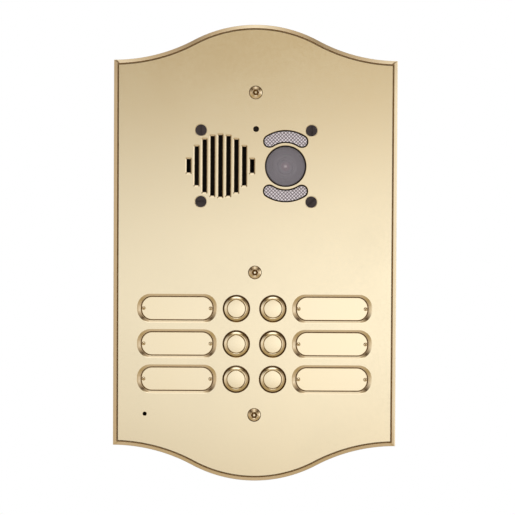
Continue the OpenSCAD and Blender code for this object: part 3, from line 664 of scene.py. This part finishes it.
def spring(i):
    """Ground and closed end turns, open in between."""
    b = Build()
    cx, cy = BUTTONS[i]
    wire, coil, turns, per_turn, sides = 0.35, 4.4, 6.5, 22, 8
    low, high = -8.3 + 0.37, 2.4 - 0.37
    steps = round(turns * per_turn)

    def centre(k):
        u = k / steps
        t = max(0.0, min(1.0, (u * turns - 0.7) / (turns - 1.4)))
        a = math.tau * u * turns
        return Vector((cx + coil * math.cos(a), cy + coil * math.sin(a), low + (high - low) * t))

    rings = []
    for k in range(steps + 1):
        here = centre(k)
        ahead = (centre(min(k + 1, steps)) - centre(max(k - 1, 0))).normalized()
        out = Vector((here.x - cx, here.y - cy, 0)).normalized()
        up = out.cross(ahead).normalized()
        ring = []
        for m in range(sides):
            a = math.tau * m / sides
            p = here + wire * (math.cos(a) * out + math.sin(a) * up)
            ring.append(b.bm.verts.new(world(*p)))
        rings.append(ring)
    for p, q in zip(rings, rings[1:]):
        b.bridge(p, q)
    b.cap(rings[0])
    b.cap(rings[-1])
    return b.piece(f"button_spring_{i + 1}_finished", MATERIALS["spring_steel"], angle=60, weighted=False)


for i in range(6):
    n = i + 1
    settle(nameplate(i), "panel", "brass_trim", f"nameplate_{n}")
    settle(bezel(i), "panel", "brass_trim", f"button_bezel_{n}")
    settle(button_cap(i), f"button_{n}", "brass_trim", f"button_cap_{n}")
    coil = settle(spring(i), "panel", "spring_steel", f"button_spring_{n}")
    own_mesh(coil)

# ---------------------------------------------------------------- lamps, camera and loudspeaker


def diffuser(side, name):
    """A milky lens with rows of small pyramids, set diagonally."""
    b = Build()
    edge = lamp_window(side, 0.95)
    points = [Vector(p) for p in edge]
    height = [4.2] * len(points)
    index = {}
    for i in range(-24, 25):
        for j in range(-24, 25):
            for half, z in ((0, 3.75), (0.5, 4.35)):
                u, v = (i + half) * LATTICE, (j + half) * LATTICE
                x, y = (u - v) * math.sqrt(0.5) + CAMERA[0], (u + v) * math.sqrt(0.5) + CAMERA[1]
                if lamp_depth(side, x, y) > 1.2:
                    index[i, j, half] = len(points)
                    points.append(Vector((x, y)))
                    height.append(z)
    lines = [(k, index[i + di, j + dj, 0]) for (i, j, half), k in index.items() if not half
             for di, dj in ((1, 0), (0, 1)) if (i + di, j + dj, 0) in index]
    found = delaunay_2d_cdt(points, lines, [list(range(len(edge)))], 1, 1e-5)
    verts = []
    for p, origin in zip(found[0], found[3]):
        verts.append(b.bm.verts.new(world(p.x, p.y, height[origin[0]] if origin else 4.1)))
    for face in found[2]:
        b.bm.faces.new([verts[k] for k in face])
    rim = [None] * len(edge)
    for v, origin in zip(verts, found[3]):
        for k in origin:
            if k < len(edge):
                rim[k] = v
    rings = [rim] + [b.ring(lamp_window(side, d), z) for d, z in ((0.95, 0.8), (-0.6, 0.8), (-0.6, 0.2))]
    for p, q in zip(rings, rings[1:]):
        b.bridge(p, q)
    b.cap(rings[-1])
    return b.piece(name, MATERIALS["lamp_diffuser"], angle=12, weighted=False)


def window():
    b = Build()
    b.lathe(CAMERA, [(0, 0), (15.1, 0), (15.25, 0.15), (15.25, 0.65), (15.1, 0.8), (13.65, 0.8),
                     (13.65, 4.15), (13.58, 4.32), (13.4, 4.4), (0, 4.4)], 96)
    return b.piece("camera_window_finished", MATERIALS["tinted_window"])


def lens():
    """A coated lens with a raised edge. Its per-vertex shade-and-glint value is how strong the painted pink
    glint in its middle is.
    """
    b = Build()
    base = -5.4
    b.lathe(CAMERA, [(0, base), (3.4, base), (3.4, base + 1.2), (3.25, base + 1.5), (3.0, base + 1.55),
                     (2.85, base + 1.35), (2.4, base + 1.62),
                     (1.9, base + 1.8), (1.2, base + 1.93, 0.1), (0.7, base + 1.97, 1), (0, base + 2, 1)],
                     48)
    return b.piece("camera_lens_finished", MATERIALS["lens_glass"])


def camera_head():
    """The camera's case with its stepped barrel, and the two pins it tilts on."""
    b = Build()
    axis = -14
    case = [(0.5, axis - 7), (0.15, axis - 6.85), (0, axis - 6.5), (0, axis + 4.5), (0.15, axis + 4.85),
            (0.5, axis + 5)]
    rings = b.shaft(lambda i: rounded(CAMERA, 18 - 2 * i, 16 - 2 * i, 1.5 - i, 6), case)
    b.cap(rings[0])
    barrel = [(6, axis + 5), (6, -4.2), (5.85, -3.9), (5.3, -3.3), (5.05, -3.05), (4.75, -3.05),
              (4.45, -3.4), (3.85, -3.72), (3.6, -3.9),
              (3.5, -4.1), (3.5, axis + 8.62)]
    turned = b.lathe(CAMERA, barrel, 48)
    b.fill(rings[-1], turned[0])
    b.cap(turned[-1])
    for s in (-1, 1):
        pin = []
        for x, r in ((8.98, 1.5), (13.1, 1.5), (13.4, 1.2)):
            spots = circle((0, 0), r, 20)
            pin.append([b.bm.verts.new(world(CAMERA[0] + s * x, CAMERA[1] + q, axis + p))
                        for p, q in spots])
        for p, q in zip(pin, pin[1:]):
            b.bridge(p, q)
        b.cap(pin[0])
        b.cap(pin[-1])
    return b.piece("camera_body_finished", MATERIALS["barrel_plastic"], angle=35)


def mesh_disc():
    """A perforated steel disc behind the sound slots."""
    b = Build()
    pitch, hole, reach, thick = 1.35, 0.46, 23.6, 0.5
    cx, cy = SPEAKER
    corner = pitch / math.sqrt(3)
    shared = {}

    def vert(x, y, z):
        key = (round(x, 3), round(y, 3), z)
        if key not in shared:
            shared[key] = b.bm.verts.new(world(cx + x, cy + y, z))
        return shared[key]

    rows = int(reach / pitch) + 2
    for i in range(-2 * rows, 2 * rows):
        for j in range(-rows, rows):
            x = pitch * (i + 0.5 * (j % 2))
            y = pitch * j * math.sqrt(0.75)
            if math.hypot(x, y) > reach - corner:
                continue
            outer = [(x + corner * math.sin(a), y + corner * math.cos(a))
                     for a in (math.tau * k / 6 for k in range(6))]
            inner = [(x + hole * math.sin(a), y + hole * math.cos(a))
                     for a in (math.tau * k / 6 for k in range(6))]
            for k in range(6):
                m = (k + 1) % 6
                for z, flip in ((BACK, 1), (BACK - thick, -1)):
                    quad = [vert(*outer[k], z), vert(*outer[m], z), vert(*inner[m], z), vert(*inner[k], z)]
                    b.bm.faces.new(quad[::flip])
                b.bm.faces.new((vert(*inner[k], BACK), vert(*inner[m], BACK), vert(*inner[m], BACK - thick),
                                vert(*inner[k], BACK - thick)))
    open_edges = [e for e in b.bm.edges if len(e.link_faces) == 1]
    skirt = {}
    for e in open_edges:
        for v in e.verts:
            if v not in skirt:
                p = Vector((v.co.x / MM - cx, v.co.z / MM - cy))
                p *= 24.8 / p.length
                skirt[v] = b.bm.verts.new(world(cx + p.x, cy + p.y, -v.co.y / MM))
    for e in open_edges:
        v, w = e.verts
        try:
            b.bm.faces.new((v, w, skirt[w], skirt[v]))
        except ValueError:
            pass
    bmesh.ops.remove_doubles(b.bm, verts=b.bm.verts, dist=1e-6)
    rest = [e for e in b.bm.edges if len(e.link_faces) == 1]
    bmesh.ops.holes_fill(b.bm, edges=rest)
    return b.piece("speaker_mesh_finished", MATERIALS["black_mesh"], angle=40, weighted=False)


def light_pipe():
    b = Build()
    b.lathe(SENSOR, [(0, -2.5), (3.3, -2.5), (3.5, -2.3), (3.5, -0.6), (3.4, -0.5), (1.85, -0.5),
                     (1.85, 3.3), (1.6, 3.55), (1.1, 3.72), (0, 3.8)], 40)
    return b.piece("light_sensor_finished", MATERIALS["black_plastic"], angle=35)


settle(diffuser(1, "lamp_diffuser_upper_finished"), "panel", "lamp_diffuser", "lamp_diffuser_upper")
settle(diffuser(-1, "lamp_diffuser_lower_finished"), "panel", "lamp_diffuser", "lamp_diffuser_lower")
settle(window(), "panel", "tinted_window", "camera_window")
settle(lens(), "camera_head", "lens_glass", "camera_lens")
settle(camera_head(), "camera_head", "black_plastic", "camera_body")
settle(light_pipe(), "panel", "black_plastic", "light_sensor")


def bend(r):
    """A fold between the box's wall and its back, about a centre 2 mm in from both."""
    return [(2 - r * math.cos(a), -46 - r * math.sin(a))
            for a in (math.radians(q) for q in range(0, 91, 15))]


def back_box():
    """The wall box, folded from zinc-plated sheet, with cable entries, fixing holes and knock-outs."""
    b = Build()
    front = [(1.2, -0.75), (1.05, -0.55), (0.85, -0.5), (0.35, -0.5), (0.15, -0.55), (0, -0.75)]
    profile = bend(0.8)[::-1] + front + bend(2.0)
    rings = b.shaft(lambda i: rounded((0, 0), 176 - 2 * i, 250 - 2 * i, max(2.4 - i, 0.4), 6), profile)
    pairs = []
    for x in (-60, 60):
        for y in (-95, 95):
            pairs.append(b.tower([(circle((x, y), 2.75, 24), -46.8), (circle((x, y), 2.6, 24), -46.95),
                                  (circle((x, y), 2.6, 24), -47.85), (circle((x, y), 2.75, 24), -48)]))
    pressed = []
    for place in ((-45, 40), (45, 40), (-45, -40), (45, -40), (0, 95), (0, -95)):
        section = ((10.6, -48), (10.4, -47.6), (10.1, -47.5), (9.8, -47.6), (9.6, -48))
        groove = b.tower([(circle(place, r, 48), z) for r, z in section])
        b.cap(groove[-1])
        pressed.append(groove[0])
    b.fill(rings[0], *[p[0] for p in pairs])
    b.fill(rings[-1], *[p[-1] for p in pairs], *pressed)
    sheets = []
    for f in b.bm.faces:
        f.normal_update()
        if f.calc_area() > 0.005 and abs(f.normal.z) > 0.9:
            sheets.append((abs(f.verts[0].co.z), f))
    holes = {}
    for height, sheet in sorted(sheets, key=lambda pair: pair[0]):
        corners = list(sheet.verts)
        b.bm.faces.remove(sheet)
        side = math.copysign(1, corners[0].co.z)
        bores = []
        for x in (-45, 45):
            spots = [world(x + 10 * math.cos(a), side * height / MM, -24 + 10 * math.sin(a))
                     for a in (math.tau * k / 48 for k in range(48))]
            bores.append([b.bm.verts.new(spot) for spot in spots])
        b.fill(corners, *bores, normal=(0, 0, 1))
        if side in holes:
            for a, c in zip(holes[side], bores):
                b.bridge(a, c)
        holes[side] = bores
    return b.piece("back_box_finished", MATERIALS["galvanised_steel"])


settle(back_box(), "panel", "galvanised_steel", "back_box")
settle(mesh_disc(), "panel", "black_steel", "speaker_mesh")

# ---------------------------------------------------------------- carried-over CAD nodes

slot_of = {part["node"]: part["material_slot"] for part in frame["record"]["subparts"]}
BEVEL = {"screw_lugs": 0.3, "cap_nuts": 0.3, "plate_gasket": 0.25}
for name, obj in frame["nodes"].items():
    if obj.hide_render:
        continue
    obj.data.materials.clear()
    obj.data.materials.append(MATERIALS["black_mesh" if name == "microphone" else slot_of[name]])
    m = obj.modifiers.new("edges", "BEVEL")
    m.width = BEVEL.get(name, 0.15) * MM
    m.segments = 2
    m.limit_method = "ANGLE"
    m.angle_limit = math.radians(40)
    m.harden_normals = False
    m = obj.modifiers.new("weighted", "WEIGHTED_NORMAL")
    m.keep_sharp = True

# ---------------------------------------------------------------- camera, surroundings and floor

AIM = Vector((0.0018, -FACE * MM, -0.0028))
DISTANCE = 1.5
ELEVATION = math.radians(1.8)
ROLL = math.radians(0.3)
camera_data = bpy.data.cameras.new("view")
camera_data.sensor_width = 36
camera_data.lens = 36 * DISTANCE / 0.3637
camera_data.clip_end = 30
camera = bpy.data.objects.new("view", camera_data)
bpy.context.scene.collection.objects.link(camera)
camera.location = AIM + DISTANCE * Vector((0, -math.cos(ELEVATION), math.sin(ELEVATION)))
look = (AIM - camera.location).to_track_quat("-Z", "Y")
camera.rotation_mode = "QUATERNION"
camera.rotation_quaternion = look @ Quaternion((0, 0, 1), ROLL)
bpy.context.scene.camera = camera
bpy.context.scene.view_settings.view_transform = "Standard"


# What stands round the panel, in five colours, by bearing from the right. ROOM lies far to the sides: windows
# to the right and overhead, dark corners between. SCREENS lie closer to the visitor: a white one overhead,
# and a window to the left.
BRIGHT = (1.6, 1.6, 1.6)
WINDOW = (1.0, 0.95, 0.9)
HAZE = (0.6, 0.5, 0.4)
CLOTH = (0.45, 0.35, 0.2)
DARK = (0.08, 0.05, 0.03)
ROOM = ((0, WINDOW), (15, HAZE), (45, DARK), (75, HAZE), (90, WINDOW), (105, HAZE), (135, DARK),
        (180, HAZE), (225, CLOTH),
        (270, HAZE), (315, CLOTH), (345, HAZE), (360, WINDOW))
SCREENS = ((0, HAZE), (45, DARK), (60, CLOTH), (75, BRIGHT), (105, BRIGHT), (120, CLOTH), (135, DARK),
           (180, WINDOW),
           (225, CLOTH), (315, CLOTH), (360, HAZE))
# A mirrored ray's slope, times the first value plus the second, is the place on the plate that it comes from.
# That place runs from -1 to 1 over the plate's width or height.
ACROSS_PLATE = (15.0, 0.018)
UP_PLATE = (9.31, 0.274)
# The screen that the plate's flat face mirrors, at its middle and where it falls off into shade.
SCREEN_LIT = (1.1, 1.1, 1.1)
SCREEN_SHADE = (0.5, 0.4, 0.25)


def surroundings():
    """The studio that the polished brass mirrors, made from each ray's direction.

    A pale screen stands in front and falls off into shade above and below. Past it come SCREENS, then ROOM.
    """
    sky = bpy.data.worlds.new("studio")
    sky.use_nodes = True
    n = Nodes(sky.node_tree)
    direction = n.add("ShaderNodeTexCoord").outputs["Generated"]
    parts = n.add("ShaderNodeSeparateXYZ", None, i0=direction).outputs
    dx, dy, dz = parts[0], parts[1], parts[2]
    front = n.math("MAXIMUM", n.math("MULTIPLY", dy, -1.0), 0.05)
    u = n.math("DIVIDE", dx, front)
    w = n.math("DIVIDE", dz, front)
    across = n.add("ShaderNodeClamp", None, i0=n.math("MULTIPLY_ADD", u, *ACROSS_PLATE), i1=-1.3,
                   i2=1.3).outputs[0]
    up = n.add("ShaderNodeClamp", None, i0=n.math("MULTIPLY_ADD", w, *UP_PLATE), i1=-1.25,
               i2=1.25).outputs[0]
    above = n.smooth(up, -0.2, 1.2)
    below = n.math("MULTIPLY", n.smooth(up, -0.3, -1.2), 0.4)
    screen = n.mix(n.math("ADD", above, below, clamp=True), SCREEN_LIT, SCREEN_SHADE)
    lift = n.span(across, -1.0, 1.0, 0.85, 1.1)
    screen = n.vector("MULTIPLY", screen, n.add("ShaderNodeCombineXYZ", None, i0=lift, i1=lift,
                                                i2=lift).outputs[0])
    turn = n.math("DIVIDE", n.math("ARCCOSINE", n.math("MULTIPLY", dy, -1.0)), math.pi / 180)
    bearing = n.math("FRACT", n.math("DIVIDE", n.math("ARCTAN2", dz, dx), math.tau))
    far = n.ramp(bearing, [(degrees / 360, colour) for degrees, colour in ROOM])
    close = n.ramp(bearing, [(degrees / 360, colour) for degrees, colour in SCREENS])
    beside = n.math("MULTIPLY", n.smooth(n.math("ABSOLUTE", dz), 0.35, 0.2),
                    n.math("GREATER_THAN", dx, 0.0))
    far = n.mix(n.math("MULTIPLY", beside, n.smooth(turn, 62, 66)), far, (1.25, 1.2, 1.15))
    far = n.mix(n.smooth(turn, 72, 75), far, (0.06, 0.035, 0.012))
    far = n.mix(n.smooth(turn, 104, 122), far, (0.72, 0.70, 0.67))
    room = n.mix(n.smooth(turn, 36, 40), close, far)
    mirrored = n.mix(n.smooth(turn, 8, 12), (1, 1, 1), room)
    n.tree.links.new(screen, mirrored.node.inputs[6])
    seen = n.add("ShaderNodeLightPath").outputs["Is Camera Ray"]
    light = n.add("ShaderNodeBackground", None, Color=mirrored, Strength=1.0)
    backdrop = n.add("ShaderNodeBackground", None, Color=(1, 1, 1, 1), Strength=1.0)
    both = n.add("ShaderNodeMixShader", None, i0=seen, i1=light.outputs[0], i2=backdrop.outputs[0])
    n.add("ShaderNodeOutputWorld", None, Surface=both.outputs[0])
    bpy.context.scene.world = sky


surroundings()


def softbox(name, place, aim, size, power, colour=(1, 1, 1)):
    data = bpy.data.lights.new(name, "AREA")
    data.shape = "RECTANGLE"
    data.size, data.size_y = size
    data.energy = power
    data.color = colour
    lamp = bpy.data.objects.new(name, data)
    bpy.context.scene.collection.objects.link(lamp)
    lamp.location = place
    lamp.rotation_mode = "QUATERNION"
    lamp.rotation_quaternion = (Vector(aim) - Vector(place)).to_track_quat("-Z", "Y")
    lamp.visible_glossy = False
    return lamp


softbox("overhead_softbox", (-0.5, -1.2, 2.2), (0, 0, 0), (1.4, 1.0), 22)
softbox("front_softbox", (0.9, -2.2, 0.7), (0, 0, 0), (1.6, 1.2), 26)


def fade(n, where, colour, roughness, relief):
    """The floor thins out towards its edge, so that no horizon shows."""
    flat = n.vector("MULTIPLY", where, (1, 1, 0))
    radius = n.add("ShaderNodeVectorMath", {"operation": "LENGTH"}, i0=flat).outputs["Value"]
    return colour, roughness, relief, {"Alpha": n.smooth(radius, 2.5, 0.9)}


def floor_disc():
    b = Build()
    rings = [b.bm.verts.new(Vector((2.6 * math.cos(math.tau * k / 96), 2.6 * math.sin(math.tau * k / 96),
                                    -0.6))) for k in range(96)]
    b.cap(rings)
    material = surface("floor_white", (0.93, 0.93, 0.93), (0.91, 0.91, 0.91), (0.7, 0.85), 0.05, 0.0,
                       pattern=fade, patch=0.001,
                       Emission_Color=(1, 1, 1, 1), Emission_Strength=0.22)
    obj = b.piece("floor_disc", material, weighted=False)
    obj.visible_glossy = False
    return obj


floor_disc()

bpy.context.view_layer.update()
